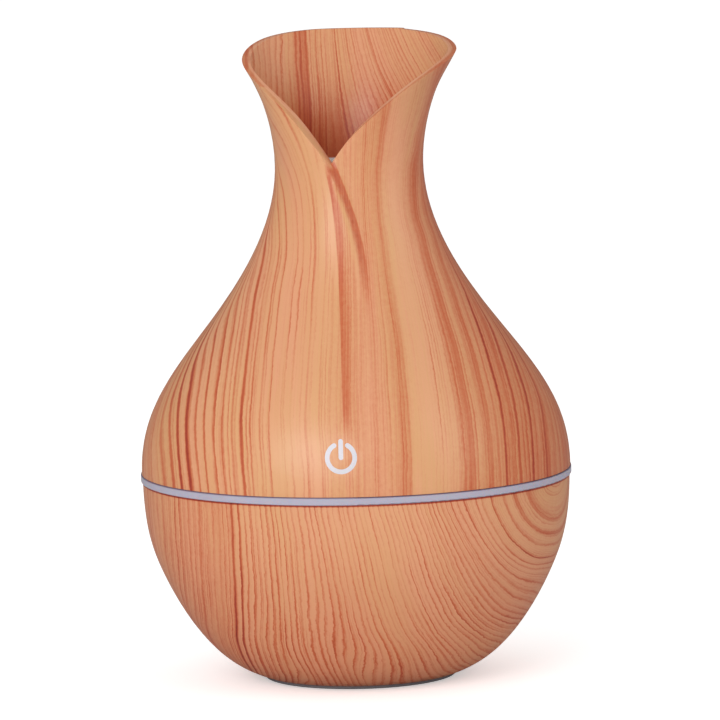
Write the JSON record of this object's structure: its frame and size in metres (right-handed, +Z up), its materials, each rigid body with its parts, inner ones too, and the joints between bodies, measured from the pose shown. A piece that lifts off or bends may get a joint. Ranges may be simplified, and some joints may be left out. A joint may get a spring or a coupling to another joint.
{
  "type": "essential oil diffuser",
  "caption": "Vase-shaped table-top ultrasonic diffuser with a wrapped-petal collar, light band at the waist, lift-off head and cotton wick.",
  "frame": {"origin": "on the table under the vase's axis", "axes": "+Z up the vase's axis, touch key facing -Y, USB socket facing +Y"},
  "size_m": [0.0954, 0.0954, 0.142],
  "materials": {
    "wood_print": "satin, wood-grain film",
    "foot_rubber": "matte",
    "silicone": "satin, translucent white silicone",
    "white_plastic": "satin",
    "light_band": "frosted translucent",
    "symbol_lens": "translucent",
    "board": "solder mask",
    "steel": "satin",
    "spring_steel": "bright drawn",
    "mesh_steel": "bright",
    "ceramic": "silvered ceramic",
    "chip": "matte epoxy",
    "ferrite": "matte",
    "can": "satin",
    "led": "clear resin",
    "cotton": "bonded cotton fibre",
    "wire": "insulated"
  },
  "bodies": {
    "tank": {"tank_bowl": "wood_print", "foot_pad": "foot_rubber"},
    "seal": {"tank_seal": "silicone"},
    "head": {"head_base": "white_plastic", "light_ring": "light_band", "upper_shell": "wood_print", "touch_symbol": "symbol_lens", "touch_board": "board", "touch_spring": "spring_steel", "symbol_led": "led", "circuit_board": "board", "usb_socket": "steel", "controller_chip": "chip", "inductor": "ferrite", "capacitor": "can", "light_leds": "led", "centre_tube": "white_plastic", "disc_gasket": "silicone", "mist_mesh": "mesh_steel", "piezo_ring": "ceramic", "mist_nozzle": "white_plastic", "disc_wires": "wire", "touch_wires": "wire", "shell_screws": "steel", "board_screws": "steel", "tube_screws": "steel"},
    "sleeve": {"wick_sleeve": "white_plastic", "sleeve_seal": "silicone", "wick_spring": "spring_steel"},
    "wick": {"wick": "cotton"}
  },
  "joints": [
    {"name": "head_lift", "type": "slide", "parent": "tank", "child": "seal", "axis": [0, 0, 1], "range_m": [0, 0.06]},
    {"name": "head_turn", "type": "hinge", "parent": "seal", "child": "head", "pos_m": [0, 0, 0.0412], "axis": [0, 0, 1], "continuous": true},
    {"name": "sleeve_release", "type": "hinge", "parent": "head", "child": "sleeve", "pos_m": [0, 0, 0.0412], "axis": [0, 0, 1], "range_deg": [0, 75]},
    {"name": "wick_travel", "type": "slide", "parent": "sleeve", "child": "wick", "axis": [0, 0, 1], "range_m": [-0.003, 0], "stiffness_N_per_m": 150, "springref_m": 0.002, "deforming": ["wick_spring"]}
  ]
}
